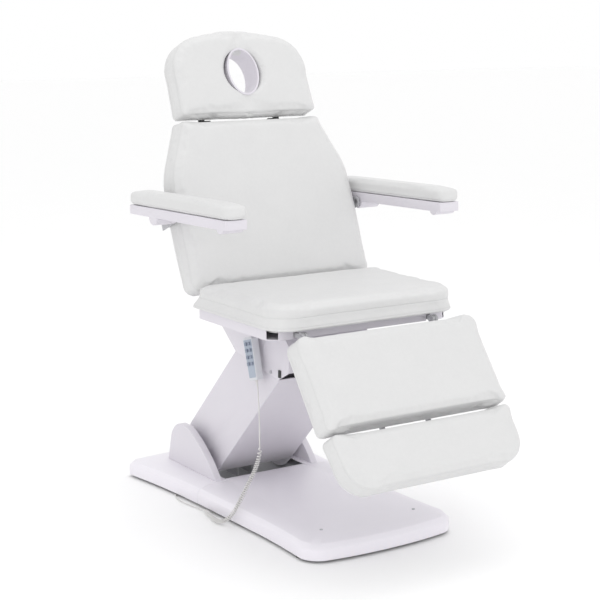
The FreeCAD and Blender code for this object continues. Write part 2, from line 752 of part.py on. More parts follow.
def head_hinge():
    """Two knuckle plates behind the pads on the back, two on the headrest, and their pins."""
    high = -size("pad_depth") - size("board_depth")
    axis_y, axis_z = 522.5, high - 11.0
    for name, start, y in (("head_hinge_lower", 106.0, (455.0, 522.5)), ("head_hinge_upper", 127.0, (522.5, 590.0))):
        body = new_body(name, BACK)
        for side in (-1.0, 1.0):
            span = sorted((side * start, side * (start + 20.0)))
            block(body, span, y, (high - 6.0, high))
            block(body, span, (514.5, 530.5), (axis_z, high))
            rod(body, "x", 8.0, (axis_y, axis_z), span)
            hole = 4.0 if name == "head_hinge_lower" else 4.05
            rod(body, "x", hole, (axis_y, axis_z), span, cut=True)
        block(body, (-127.0, 127.0), (470.0, 480.0) if name == "head_hinge_lower" else (554.0, 564.0), (high - 6.0, high))
    body = new_body("head_hinge_pins", BACK)
    for side in (-1.0, 1.0):
        rod(body, "x", 4.0, (axis_y, axis_z), sorted((side * 105.0, side * 148.0)))


# ---- leg and foot --------------------------------------------------------------------------

def leg_outline(inset):
    """Outline of the leg pad, with round upper corners."""
    half = size("couch_half") - 9.0 - inset
    return mirrored([
        (half - 20.0, inset - size("leg_length"), 20.0),
        (half, inset - size("leg_length") + 20.0),
        (half, -as_size(40.0), 38.0),
        (half - 36.0, -inset),
    ])


def foot_outline(inset):
    """Outline of the foot pad, with wide round lower corners."""
    half = size("foot_half") - inset
    return mirrored([
        (half - 76.0, inset - size("foot_end"), 82.0),
        (half - 6.0, inset + 78.0 - size("foot_end")),
        (half, -inset - size("foot_start") - 16.0, 18.0),
        (half - 16.0, -inset - size("foot_start")),
    ])


def leg_pads():
    """Leg and foot pads, each with its board."""
    pad_and_board("leg", leg_outline)
    pad_and_board("foot", foot_outline)


def pad_and_board(name, draw):
    """A cushion in the leg's frame with the plywood board under it."""
    depth, board = size("pad_depth"), size("board_depth")
    body = new_body(name + "_cushion", LEG)
    prism(body, "XY_Plane", draw(as_size(0.0)), (-depth, 0.0))
    body = new_body(name + "_board", LEG)
    prism(body, "XY_Plane", draw(as_size(24.0)), (-depth - board, -depth))


def leg_frame():
    """Steel spine of the leg rest, hinge lugs and the guide tubes for the foot's rods."""
    body = new_body("leg_frame", LEG)
    high = -size("pad_depth") - size("board_depth")
    low = high - 25.0
    middle = high - 13.0
    block(body, (-60.0, 60.0), (-258.0, -14.0), (low, high))
    block(body, (-226.0, 226.0), (-44.0, -14.0), (low, high))
    for start in (-250.0, -90.0):
        block(body, (-110.0, 110.0), (start, start + 20.0), (low, high))
    hinge_y, hinge_z = in_leg(-425.0, 633.0)
    for side in (-1.0, 1.0):
        span = sorted((side * 218.0, side * 226.0))
        block(body, span, (-20.0, hinge_y), (hinge_z - 8.0, high))
        rod(body, "x", 12.0, (hinge_y, hinge_z), span)
        rod(body, "x", 5.05, (hinge_y, hinge_z), span, cut=True)
        rod(body, "y", 8.3, (side * 80.0, middle), (-260.0, -62.0), cut=True)


def in_leg(y, z):
    """A level place (from the base centre) in the leg's own frame."""
    cosine, sine = turn_parts(size("leg_angle"))
    along_y = as_size(y) - size("leg_y")
    along_z = as_size(z) - size("leg_z")
    return along_y * cosine + along_z * sine, along_z * cosine - along_y * sine


def foot_frame():
    """The foot pad's strap and the two rods that slide in the leg's guides."""
    body = new_body("foot_frame", LEG)
    high = -size("pad_depth") - size("board_depth")
    middle = high - 13.0
    block(body, (-110.0, 110.0), (-430.0, -400.0), (high - 22.0, high))
    for side in (-1.0, 1.0):
        rod(body, "y", 8.0, (side * 80.0, middle), (-420.0, -66.0))


# ---- armrests ------------------------------------------------------------------------------

def armrests():
    """Left and right armrest: a moulded shell with two rounded bosses, and its pad."""
    inner, outer = size("rest_inner"), size("rest_outer")
    front, rear, seam = size("rest_front"), size("rest_rear"), size("rest_seam")
    for name, side in (("left", -1.0), ("right", 1.0)):
        def across(start, end):
            return (start, end) if side > 0 else (-as_size(end), -as_size(start))
        body = new_body(name + "_rest_shell", REST)
        block(body, across(inner + 2.0, outer - 2.0), (front + 8.0, rear - 8.0), (1.0, seam))
        rod(body, "x", 25.0, (0.0, 3.5), across(inner + 2.0, outer - 2.0))
        rod(body, "x", 18.0, (front + 42.0, 8.0), across(inner + 2.0, outer - 2.0))
        rod(body, "x", 7.05, (0.0, 0.0), across(inner, inner + 14.5), cut=True)
        body = new_body(name + "_rest_pad", REST)
        block(body, across(inner, outer), (front, rear), (seam, size("rest_height")))
        dress(body, "Fillet", 26.0, upright)


# ---- handset -------------------------------------------------------------------------------

KEY_ROWS = 4
KEY_TRAVEL_GAP = 1.2


def handset():
    """Handset body with its hanging clip, key panel and eight keys in four rows."""
    front, back = size("handset_front"), size("handset_back")
    half, length = size("handset_half"), size("handset_length")
    body = new_body("handset_body", HANDSET)
    corners = [(-half, -6.0), (5.0 - half, -length), (half - 5.0, -length), (half, -6.0), (half - 6.0, 0.0), (6.0 - half, 0.0)]
    prism(body, "YZ_Plane", corners, (front, back))
    block(body, (back - 4.0, back), (-8.0, 8.0), (-2.0, 20.0))
    block(body, (back - 4.0, -151.0), (-8.0, 8.0), (17.0, 20.0))
    block(body, (-153.5, -151.0), (-8.0, 8.0), (10.0, 18.0))
    body = new_body("key_panel", HANDSET)
    corners = [(4.0 - half, -8.0), (8.0 - half, 8.0 - length), (half - 8.0, 8.0 - length), (half - 4.0, -8.0)]
    prism(body, "YZ_Plane", corners, (front - 1.0, front))
    for row in range(KEY_ROWS):
        for column, y in (("down", -10.0), ("up", 10.0)):
            body = new_body("key_%s_%d" % (column, row + 1), HANDSET)
            z = -20.0 - 20.0 * row
            low, high = front - 1.0 - KEY_TRAVEL_GAP - 2.0, front - 1.0 - KEY_TRAVEL_GAP
            block(body, (low, high), (y - 6.0, y + 6.0), (z - 5.0, z + 5.0))


# ---- the handset's cord --------------------------------------------------------------------

LEAD = [(-172.5, -91.83, 435.03), (-172.5, -97.62, 414.84), (-172.0, -101.0, 375.0), (-171.5, -104.0, 322.0),
        (-171.0, -105.0, 284.0), (-171.0, -104.0, 236.0)]
CURL = [(-171.0, -104.0, 236.0), (-171.0, -103.33, 204.0), (-187.0, -105.0, 163.0), (-216.0, -108.0, 120.0),
        (-257.0, -121.0, 70.0), (-284.0, -108.0, 25.0), (-295.0, -66.0, 7.2), (-288.0, -20.0, 7.2), (-279.0, 24.0, 7.2)]
TAIL = [(-279.0, 24.0, 7.2), (-272.66, 55.0, 7.2), (-275.0, 90.0, 2.7), (-281.0, 126.0, 2.4), (-286.0, 160.0, 2.5),
        (-286.0, 190.0, 2.4), (-281.0, 218.0, 2.5), (-272.0, 244.0, 2.4), (-252.0, 268.0, 2.6), (-236.0, 279.0, 8.0),
        (-226.0, 286.0, 20.0), (-206.0, 286.0, 20.0)]


def rounded_wire(route):
    """The route's straight runs joined by tangent arcs, and the wire's radii."""
    points = [Vector(*point) for point in route]
    edges, radii, start = [], [], points[0]
    for before, corner, after in zip(points, points[1:], points[2:]):
        inward = (before - corner).normalize()
        outward = (after - corner).normalize()
        turn = math.pi - inward.getAngle(outward)
        run = min((before - corner).Length, (after - corner).Length)
        reach = 0.45 * run
        radius = reach / math.tan(turn / 2)
        first, last = corner + inward * reach, corner + outward * reach
        middle = corner + (inward + outward).normalize() * (radius / math.cos(turn / 2) - radius)
        edges.append(Part.LineSegment(start, first).toShape())
        edges.append(Part.Arc(first, middle, last).toShape())
        radii.append(radius)
        start = last
    edges.append(Part.LineSegment(start, points[-1]).toShape())
    return Part.Wire(edges), radii


def cord_piece(label, route, radius):
    """A round tube along a route, as one solid."""
    wire, radii = rounded_wire(route)
    start = wire.Vertexes[0].Point
    heading = Vector(*route[1]) - Vector(*route[0])
    section = Part.Wire(Part.makeCircle(radius, start, heading))
    tube = wire.makePipeShell([section], True, True)
    feature = DOC.addObject("Part::Feature", label)
    feature.Label = label
    feature.Shape = tube
    feature.Placement = Placement(Vector(0, SIZES["base_shift"], 0), Rotation())
    NODES[label] = feature
    share = tube.Volume / (math.pi * radius ** 2 * wire.Length)
    print("%s: length %.0f, least radius %.0f, volume share %.3f" % (label, wire.Length, min(radii), share))


def cord():
    """Plain lead, curled stretch and thin tail of the handset's cord."""
    cord_piece("cord_lead", LEAD, SIZES["lead_radius"])
    cord_piece("cord_curl", CURL, SIZES["curl_radius"])
    cord_piece("cord_tail", TAIL, SIZES["lead_radius"])


# ---- assembly ------------------------------------------------------------------------------

BUILDERS = (
    base_frame, front_cover, rear_cover, fin_covers, levelling_feet, base_shafts,
    base_electrics, cover_caps, lift_arm_cover, lift_beams, levelling_link, carriage_frame, carriage_cover,
    carriage_trim, seat_cushion, seat_board, seat_pan, seat_frame, pins, back_pad, back_frame, headrest,
    head_hinge, leg_pads, leg_frame, foot_frame, armrests, handset, cord,
)


def check():
    """Stops if an object failed or a node's shape is missing or broken."""
    for thing in DOC.Objects:
        if set(thing.State) & {"Invalid", "Error"}:
            raise RuntimeError("%s (%s) failed: %s" % (thing.Name, thing.Label, thing.State))
    for label, node in NODES.items():
        if node.Shape.isNull() or not node.Shape.isValid() or not node.Shape.Solids:
            raise RuntimeError("%s has no valid solid" % label)


def main():
    """Builds every node, checks it and writes its file."""
    fill_sheet()
    for build in BUILDERS:
        build()
    DOC.recompute()
    check()
    os.makedirs("parts", exist_ok=True)
    whole = FreeCAD.BoundBox()
    for label, node in NODES.items():
        node.Shape.exportStep("parts/%s.step" % label)
        whole.add(node.Shape.BoundBox)
    print("%d nodes" % len(NODES), whole)


if __name__ == "__main__":
    main()
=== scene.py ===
"""Facial treatment bed: upholstery, finishes, handset cord, light and camera.

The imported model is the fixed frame. Lengths are metres in its frame: +X across the bed,
+Y towards the headrest, +Z up, with the floor at Z = 0.
"""

import logging
import math
from dataclasses import dataclass, field
from enum import Enum
from typing import Iterable, Sequence

import bpy
from mathutils import Matrix, Vector


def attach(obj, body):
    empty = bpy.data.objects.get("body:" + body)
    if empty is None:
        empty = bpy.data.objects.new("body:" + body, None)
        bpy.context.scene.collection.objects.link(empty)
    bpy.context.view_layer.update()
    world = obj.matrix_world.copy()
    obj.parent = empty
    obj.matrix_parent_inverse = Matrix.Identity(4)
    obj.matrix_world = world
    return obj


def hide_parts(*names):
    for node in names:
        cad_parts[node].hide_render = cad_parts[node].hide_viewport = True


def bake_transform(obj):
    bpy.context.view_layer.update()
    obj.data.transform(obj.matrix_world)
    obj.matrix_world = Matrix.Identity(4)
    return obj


LOG = logging.getLogger("treatment_bed")
Point = tuple[float, float, float]
Colour = tuple[float, float, float]

BASE_SHIFT = 0.122          # the base's centre along Y


# ---- shader writing ------------------------------------------------------------------------

class Wire:
    """One value in a material, with operators that add Math nodes."""

    def __init__(self, board: "Board", socket: bpy.types.NodeSocket) -> None:
        """Wraps a socket of the board's tree."""
        self.board = board
        self.socket = socket

    def _math(self, operation: str, *values: "Wire | float") -> "Wire":
        """Adds one Math node.

        Args:
            operation: the Math node's operation.
            values: its inputs, as wires or numbers.

        Returns:
            The node's result.
        """
        made = self.board.node("ShaderNodeMath", {"operation": operation}, dict(enumerate(values)))
        return Wire(self.board, made.outputs[0])

    def __add__(self, other: "Wire | float") -> "Wire":
        """Sum."""
        return self._math("ADD", self, other)

    __radd__ = __add__

    def __sub__(self, other: "Wire | float") -> "Wire":
        """Difference."""
        return self._math("SUBTRACT", self, other)

    def __rsub__(self, other: float) -> "Wire":
        """Difference from a number."""
        return self._math("SUBTRACT", other, self)

    def __mul__(self, other: "Wire | float") -> "Wire":
        """Product."""
        return self._math("MULTIPLY", self, other)

    __rmul__ = __mul__

    def hump(self, centre: float, width: float) -> "Wire":
        """A smooth bump of height 1 where the value is near a centre.

        Args:
            centre: the value at the bump's top.
            width: how far from the top it has fallen away.

        Returns:
            The bump, from 0 to 1.
        """
        distance = self._math("ABSOLUTE", self - centre)
        span = {"data_type": "FLOAT", "interpolation_type": "SMOOTHSTEP"}
        made = self.board.node("ShaderNodeMapRange", span, {0: distance, 1: 0.0, 2: width, 3: 1.0, 4: 0.0})
        return Wire(self.board, made.outputs[0])

    def wave(self, length: float) -> "Wire":
        """A sine of that wavelength, from 0 to 1."""
        return self._math("SINE", self * (2 * math.pi / length)) * 0.5 + 0.5


class Board:
    """A material's node tree around one Principled shader."""

    def __init__(self, name: str) -> None:
        """Makes an empty material of that name."""
        self.material = bpy.data.materials.new(name)
        self.material.use_nodes = True
        self.tree = self.material.node_tree
        self.shader = next(n for n in self.tree.nodes if n.type == "BSDF_PRINCIPLED")

    def node(self, kind: str, settings: dict, inputs: dict) -> bpy.types.Node:
        """Adds one node.

        Args:
            kind: the node's type.
            settings: properties that are set first.
            inputs: socket name or number, with a number, colour, socket or wire for each.

        Returns:
            The node.
        """
        made = self.tree.nodes.new(kind)
        for name, value in settings.items():
            setattr(made, name, value)
        for name, value in inputs.items():
            source = value.socket if isinstance(value, Wire) else value
            if isinstance(source, bpy.types.NodeSocket):
                self.tree.links.new(source, made.inputs[name])
            else:
                made.inputs[name].default_value = source
        return made

    def place(self) -> bpy.types.NodeSocket:
        """Object coordinates."""
        return self.node("ShaderNodeTexCoord", {}, {}).outputs["Object"]

    def noise(self, scale: float, detail: float = 3.0, stretch: Point = (1, 1, 1)) -> Wire:
        """Noise over the piece.

        Args:
            scale: features per metre.
            detail: octaves.
            stretch: how many times finer it is along each axis.

        Returns:
            The noise, from 0 to 1.
        """
        spread = self.node("ShaderNodeMapping", {}, {"Vector": self.place(), "Scale": stretch}).outputs[0]
        made = self.node("ShaderNodeTexNoise", {}, {"Vector": spread, "Scale": scale, "Detail": detail})
        return Wire(self, made.outputs[0])

    def cells(self, scale: float) -> Wire:
        """Distance to the nearest of many scattered points, as on a leather grain."""
        made = self.node("ShaderNodeTexVoronoi", {},
                         {"Vector": self.place(), "Scale": scale, "Randomness": 0.9})
        return Wire(self, made.outputs[0])

    def tint(self, factor: Wire, low: Colour, high: Colour) -> None:
        """Mixes the base colour between two by a factor."""
        mixed = self.node("ShaderNodeMix", {"data_type": "RGBA"},
                          {0: factor, 6: (*low, 1.0), 7: (*high, 1.0)})
        self.tree.links.new(mixed.outputs[2], self.shader.inputs["Base Color"])

    def relief(self, height: Wire, depth: float) -> None:
        """Drives the shader's normal from a height, with that depth in metres."""
        bump = self.node("ShaderNodeBump", {}, {"Height": height, "Distance": depth, "Strength": 1.0})
        self.tree.links.new(bump.outputs[0], self.shader.inputs["Normal"])

    def gloss(self, factor: Wire, low: float, high: float) -> None:
        """Varies the roughness between two values by a factor."""
        spread = factor * (high - low) + low
        self.tree.links.new(spread.socket, self.shader.inputs["Roughness"])

    def fixed(self, **values: float) -> None:
        """Sets values that are the same all over, by socket name with _ for a space."""
        for name, value in values.items():
            self.shader.inputs[name.replace("_", " ")].default_value = value


# ---- finishes ------------------------------------------------------------------------------

@dataclass(frozen=True)
class Vinyl:
    """Upholstery vinyl with a fine pebble grain and stitched seams at given depths of a pad, with painted
    shade in the seams' creases.
    """

    name: str
    seams: tuple[float, ...] = ()
    dark: Colour = (0.635, 0.635, 0.637)
    light: Colour = (0.695, 0.695, 0.694)
    stitch: float = 0.0052

    def make(self) -> bpy.types.Material:
        """Builds the material; "pad" is the piece's own attribute of places in the pad.

        Returns:
            The material.
        """
        board = Board(self.name)
        soft = board.noise(14.0, 2.0)
        grain = board.cells(760.0) * 0.25 + board.noise(240.0, 4.0) * 0.2 + soft * 1.2
        tone_and_crease_shade = soft * 0.5 + board.noise(90.0, 3.0) * 0.5
        if self.seams:
            own = board.node("ShaderNodeAttribute", {"attribute_name": "pad"}, {})
            parts = board.node("ShaderNodeSeparateXYZ", {}, {0: own.outputs["Vector"]})
            across, along, depth = (Wire(board, out) for out in parts.outputs)
            stitches = (across + along).wave(self.stitch)
            for seam in self.seams:
                crease = depth.hump(seam, 0.0022)
                thread = depth.hump(seam + 0.0042, 0.0011) * stitches
                grain = grain - crease * 0.9 + thread * 0.35
                # The crease also darkens the colour: painted shade in the seam, on top of the random tone.
                tone_and_crease_shade = tone_and_crease_shade - crease * 0.3 + thread * 0.1
        board.tint(tone_and_crease_shade, self.dark, self.light)
        board.gloss(board.noise(60.0, 3.0), 0.36, 0.5)
        board.relief(grain, 0.0006)
        board.fixed(Specular_IOR_Level=0.45, Sheen_Weight=0.05, Sheen_Roughness=0.4)
        return board.material


@dataclass(frozen=True)
class Moulded:
    """Moulded plastic: slight colour drift and a fine spark texture."""

    name: str
    dark: Colour
    light: Colour
    rough: tuple[float, float] = (0.32, 0.44)
    texture: float = 0.00006
    metal: float = 0.0

    def make(self) -> bpy.types.Material:
        """Builds the material.

        Returns:
            The material.
        """
        board = Board(self.name)
        board.tint(board.noise(5.0, 3.0) * 0.7 + board.noise(170.0, 2.0) * 0.3, self.dark, self.light)
        board.gloss(board.noise(26.0, 4.0), *self.rough)
        board.relief(board.noise(1300.0, 2.0) + board.noise(9.0, 2.0) * 2.0, self.texture)
        board.fixed(Specular_IOR_Level=0.5, Metallic=self.metal)
        return board.material


@dataclass(frozen=True)
class Turned:
    """Turned or drawn steel, with fine lines round or along the piece."""

    name: str
    lines: Point = (1.0, 1.0, 1.0)

    def make(self) -> bpy.types.Material:
        """Builds the material.

        Returns:
            The material.
        """
        board = Board(self.name)
        lines = board.noise(40.0, 3.0, self.lines)
        board.tint(lines, (0.46, 0.46, 0.48), (0.66, 0.66, 0.67))
        board.gloss(lines, 0.22, 0.4)
        board.relief(lines, 0.00004)
        board.fixed(Metallic=1.0)
        return board.material


class Finish(Enum):
    """The finishes of the bed's pieces."""

    SHELL = Moulded("moulded_white", (0.655, 0.63, 0.68), (0.715, 0.69, 0.74))
    # A lighter copy of the shell white for the base's covers: painted light, standing in for the light that
    # the bed above keeps off their tops.
    BASE = Moulded("moulded_white_painted_light", (0.80, 0.775, 0.83), (0.86, 0.835, 0.885))
    COAT = Moulded("powder_coat_grey", (0.40, 0.40, 0.42), (0.52, 0.52, 0.54), (0.4, 0.55), 0.00012)
    DARK_COAT = Moulded("powder_coat_black", (0.03, 0.03, 0.032), (0.06, 0.06, 0.062), (0.35, 0.5), 0.0001)
    BLACK = Moulded("moulded_black", (0.02, 0.02, 0.021), (0.045, 0.045, 0.047), (0.4, 0.55), 0.0001)
    RUBBER = Moulded("black_rubber", (0.012, 0.012, 0.012), (0.03, 0.03, 0.03), (0.65, 0.85), 0.0002)
    CAP = Moulded("grey_cap", (0.42, 0.42, 0.45), (0.5, 0.5, 0.53), (0.35, 0.5))
    PANEL = Moulded("key_panel_blue_grey", (0.34, 0.39, 0.47), (0.42, 0.47, 0.55), (0.3, 0.42))
    KEY = Moulded("key_grey", (0.20, 0.23, 0.31), (0.27, 0.31, 0.39), (0.35, 0.5))
    HANDSET = Moulded("handset_grey_white", (0.60, 0.61, 0.64), (0.69, 0.70, 0.73), (0.3, 0.42))
    SHEATH = Moulded("cord_sheath", (0.62, 0.61, 0.60), (0.74, 0.73, 0.72), (0.4, 0.55), 0.0001)
    STEEL = Turned("turned_steel", (1.0, 30.0, 30.0))
    LINING = Vinyl("lining_vinyl")
    FLOOR = Moulded("pale_floor", (0.985, 0.985, 0.985), (1.0, 1.0, 1.0), (0.6, 0.7))


def finish_of(finish: Finish) -> bpy.types.Material:
    """The finish's material, made on first use."""
    return bpy.data.materials.get(finish.value.name) or finish.value.make()


def dress(piece: bpy.types.Object, material: bpy.types.Material) -> None:
    """Gives a piece one material in place of any it had."""
    if not piece.material_slots:
        piece.data.materials.append(material)
    for held in piece.material_slots:
        held.material = material


# ---- modelling helpers ---------------------------------------------------------------------

def alone(piece: bpy.types.Object) -> None:
    """Leaves only this piece selected and active."""
    bpy.ops.object.select_all(action="DESELECT")
    piece.hide_set(False)
    piece.select_set(True)
    bpy.context.view_layer.objects.active = piece


def applied(piece: bpy.types.Object, kind: str, **settings: object) -> None:
    """Adds a modifier with those settings and applies it."""
    alone(piece)
    modifier = piece.modifiers.new(kind.lower(), kind)
    for name, value in settings.items():
        setattr(modifier, name, value)
    bpy.ops.object.modifier_apply(modifier=modifier.name)


def settle(piece: bpy.types.Object) -> None:
    """Puts a piece's place into its mesh, with its object at the origin."""
    alone(piece)
    bpy.ops.object.transform_apply(location=True, rotation=True, scale=True)


def clean_copy(node: str, name: str) -> bpy.types.Object:
    """A copy of a CAD node as a merged mesh with its flat faces whole.

    Args:
        node: the CAD node.
        name: the copy's name.

    Returns:
        The copy, with no material and no parent.
    """
    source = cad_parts[node]
    piece = bpy.data.objects.new(name, source.data.copy())
    bpy.context.collection.objects.link(piece)
    piece.data.materials.clear()
    alone(piece)
    bpy.ops.object.mode_set(mode="EDIT")
    bpy.ops.mesh.select_all(action="SELECT")
    bpy.ops.mesh.customdata_custom_splitnormals_clear()
    bpy.ops.mesh.remove_doubles(threshold=0.00002)
    bpy.ops.mesh.dissolve_limited(angle_limit=math.radians(0.6))
    bpy.ops.object.mode_set(mode="OBJECT")
    return piece


# ---- upholstery ----------------------------------------------------------------------------

@dataclass
class PadFrame:
    """Where a pad's own frame stands: turned about X, with +Z its padded side."""

    y: float
    z: float
    angle: float

    def matrix(self) -> Matrix:
        """The frame's place in the row frame."""
        turn = Matrix.Rotation(math.radians(self.angle), 4, "X")
        return Matrix.Translation((0, self.y + BASE_SHIFT, self.z)) @ turn


SEAT_FRAME = PadFrame(0.0, 0.722, 0.0)
BACK_FRAME = PadFrame(0.012, 0.716, 68.5)
LEG_FRAME = PadFrame(-0.5117, 0.6651, 54.0)
REST_FRAME = PadFrame(0.108, 0.985, -1.3)


@dataclass
class Cushion:
    """A foam pad under vinyl, swollen by a cloth simulation and sewn round its sides."""

    node: str
    body: str
    stand: PadFrame
    rounding: float = 0.016
    cap: float = 0.010
    voxel: float = 0.006
    shrink: float = 0.0015
    seams: tuple[float, ...] = (-0.016, -0.058)
    depth: float = 0.072
    fill: float = 0.85
    frames: int = 20
    crown: float = 0.004        # how far the pad may stand above its foam
    seam_width: float = 0.0032
    seam_pull: float = 0.0008

    def blank(self) -> bpy.types.Object:
        """The pad before it swells: its foam block with round edges, a little small.

        Returns:
            The pad.
        """
        piece = clean_copy(self.node, self.node + "_cover")
        applied(piece, "BEVEL", width=self.rounding, segments=4, limit_method="ANGLE",
                angle_limit=math.radians(40))
        applied(piece, "REMESH", mode="VOXEL", voxel_size=self.voxel, use_smooth_shade=True)
        applied(piece, "SMOOTH", iterations=4, factor=0.5)
        applied(piece, "DISPLACE", strength=-self.shrink, mid_level=0.0, direction="NORMAL")
        return piece

    def swell(self, piece: bpy.types.Object) -> None:
        """Blows the pad up by a pressure, holding its back against the board.

        Args:
            piece: the pad.
        """
        start = [vertex.co.copy() for vertex in piece.data.vertices]
        alone(piece)
        cloth = piece.modifiers.new("cloth", "CLOTH")
        cloth.settings.quality = 4
        cloth.settings.mass = 0.3
        cloth.settings.tension_stiffness = 12
        cloth.settings.compression_stiffness = 12
        cloth.settings.bending_stiffness = 0.6
        cloth.settings.use_pressure = True
        cloth.settings.uniform_pressure_force = 4.0
        cloth.settings.effector_weights.gravity = 0.0
        cloth.point_cache.frame_start = 1
        cloth.point_cache.frame_end = self.frames
        for number in range(1, self.frames + 1):
            bpy.context.scene.frame_set(number)
        bpy.ops.object.modifier_apply(modifier=cloth.name)
        bpy.context.scene.frame_set(1)
        inverse = self.stand.matrix().inverted()
        for vertex, before in zip(piece.data.vertices, start):
            move = vertex.co - before
            if move.length > self.cap:
                move *= self.cap / move.length
            height = (inverse @ before).z / self.depth + 1.0
            vertex.co = before + move * min(1.0, max(0.0, height * 2.5))

    def refit(self, piece: bpy.types.Object) -> None:
        """Stretches the pad a little so that it fills its foam's outline and lies on its board.

        Args:
            piece: the pad.
        """
        stand = self.stand.matrix()
        inverse = stand.inverted()
        foam = [inverse @ vertex.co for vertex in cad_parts[self.node].data.vertices]
        pad = [inverse @ vertex.co for vertex in piece.data.vertices]
        for axis in range(3):
            goal = min(p[axis] for p in foam), max(p[axis] for p in foam)
            reach = min(p[axis] for p in pad), max(p[axis] for p in pad)
            if axis == 2:
                goal = goal[0], min(reach[1], goal[1] + self.crown)
            grow = (goal[1] - goal[0]) / (reach[1] - reach[0])
            for place in pad:
                place[axis] = goal[0] + (place[axis] - reach[0]) * grow
        for vertex, place in zip(piece.data.vertices, pad):
            vertex.co = stand @ place

    def sew(self, piece: bpy.types.Object) -> None:
        """Smooths the pad, keeps its own places in the attribute "pad" and pulls in its seams.

        Args:
            piece: the pad.
        """
        applied(piece, "SMOOTH", iterations=3, factor=0.4)
        applied(piece, "SUBSURF", levels=1, render_levels=1)
        self.refit(piece)
        inverse = self.stand.matrix().inverted()
        own = piece.data.attributes.new("pad", "FLOAT_VECTOR", "POINT")
        normals = [vertex.normal.copy() for vertex in piece.data.vertices]
        turn = inverse.to_3x3()
        for vertex, held, normal in zip(piece.data.vertices, own.data, normals):
            place = inverse @ vertex.co
            held.vector = place
            side = 1.0 - abs((turn @ normal).z)
            for seam in self.seams:
                pull = math.exp(-((place.z - seam) / self.seam_width) ** 2)
                vertex.co -= normal * (self.seam_pull * pull * side)

    def build(self) -> bpy.types.Object:
        """Makes the pad, dresses it and puts it on its body.

        Returns:
            The finished pad.
        """
        piece = self.blank()
        self.swell(piece)
        self.sew(piece)
        alone(piece)
        bpy.ops.object.shade_smooth()
        dress(piece, Vinyl("vinyl_" + self.node, self.seams).make())
        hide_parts(self.node)
        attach(piece, self.body)
        LOG.info("%s: %d faces", piece.name, len(piece.data.polygons))
        return piece


@dataclass
class Upholstery:
    """All the bed's pads."""

    pads: list[Cushion] = field(default_factory=lambda: [
        Cushion("seat_cushion", "seat", SEAT_FRAME, rounding=0.022, cap=0.013, seams=(-0.035, -0.061)),
        Cushion("back_cushion", "back", BACK_FRAME, rounding=0.011, cap=0.012),
        Cushion("head_cushion", "head", BACK_FRAME, rounding=0.010, cap=0.007, voxel=0.0055),
        Cushion("leg_cushion", "leg", LEG_FRAME, rounding=0.010, cap=0.011),
        Cushion("foot_cushion", "foot", LEG_FRAME, rounding=0.010, cap=0.009),
        Cushion("left_rest_pad", "left_armrest", REST_FRAME, 0.013, 0.006, 0.005, 0.002, (-0.034,), 0.041),
        Cushion("right_rest_pad", "right_armrest", REST_FRAME, 0.013, 0.006, 0.005, 0.002, (-0.034,), 0.041),
    ])

    def build(self) -> None:
        """Makes every pad."""
        for pad in self.pads:
            pad.build()


# ---- mouldings -----------------------------------------------------------------------------

@dataclass
class Moulding:
    """A moulded cover whose sharp edges are broken by a small round."""

    node: str
    body: str
    rounding: float
    finish: Finish = Finish.SHELL
    slot: str = "moulding"

    def build(self) -> bpy.types.Object:
        """Makes the cover from its CAD solid and puts it on its body.

        Returns:
            The cover.
        """
        piece = clean_copy(self.node, self.node + "_skin")
        applied(piece, "BEVEL", width=self.rounding, segments=3, limit_method="ANGLE",
                angle_limit=math.radians(32), use_clamp_overlap=True, miter_outer="MITER_ARC")
        alone(piece)
        bpy.ops.object.shade_smooth_by_angle(angle=math.radians(35))
        dress(piece, finish_of(self.finish))
        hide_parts(self.node)
        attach(piece, self.body)
        LOG.info("%s: %d faces", piece.name, len(piece.data.polygons))
        return piece


@dataclass
class Mouldings:
    """The bed's moulded covers."""

    covers: list[Moulding] = field(default_factory=lambda: [
        # The base's front and rear covers take the lighter copy of the shell white: painted light.
        Moulding("front_cover", "base", 0.0015, Finish.BASE),
        Moulding("rear_cover", "base", 0.0015, Finish.BASE),
        Moulding("left_fin_cover", "base", 0.0014),
        Moulding("right_fin_cover", "base", 0.0014),
        Moulding("lift_arm_cover", "lift_arm", 0.0018),
        Moulding("carriage_cover", "carriage", 0.0018),
        Moulding("left_rest_shell", "left_armrest", 0.009),
        Moulding("right_rest_shell", "right_armrest", 0.009),
        Moulding("handset_body", "carriage", 0.0012, Finish.HANDSET),
    ])

    def build(self) -> None:
        """Makes every cover."""
        for cover in self.covers:
            cover.build()


# ---- bare CAD pieces -----------------------------------------------------------------------

BARE = {
    Finish.COAT: ("base_frame", "lift_beams", "levelling_link", "carriage_frame", "seat_frame", "back_frame",
                  "leg_frame", "foot_frame"),
    Finish.STEEL: ("main_shaft", "link_pin_lower", "upper_shaft", "back_hinge_pins", "leg_hinge_pins",
                   "rest_pins", "head_hinge_pins"),
    Finish.DARK_COAT: ("head_hinge_lower", "head_hinge_upper"),
    Finish.LINING: ("seat_board", "back_board", "head_board", "leg_board", "foot_board"),
    Finish.PANEL: ("key_panel",),
    Finish.KEY: tuple("key_%s_%d" % (way, row) for way in ("down", "up") for row in (1, 2, 3, 4)),
    Finish.BLACK: ("control_box", "power_inlet", "cord_gland"),
    Finish.CAP: ("cover_caps", "cheek_caps"),
    Finish.RUBBER: ("levelling_feet", "buffer"),
    Finish.SHELL: ("seat_pan", "face_hole_ring"),
}


def dress_bare_pieces() -> None:
    """Gives every CAD piece that stays in view its finish."""
    for finish, nodes in BARE.items():
        for node in nodes:
            dress(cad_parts[node], finish_of(finish))


# ---- the handset's cord --------------------------------------------------------------------

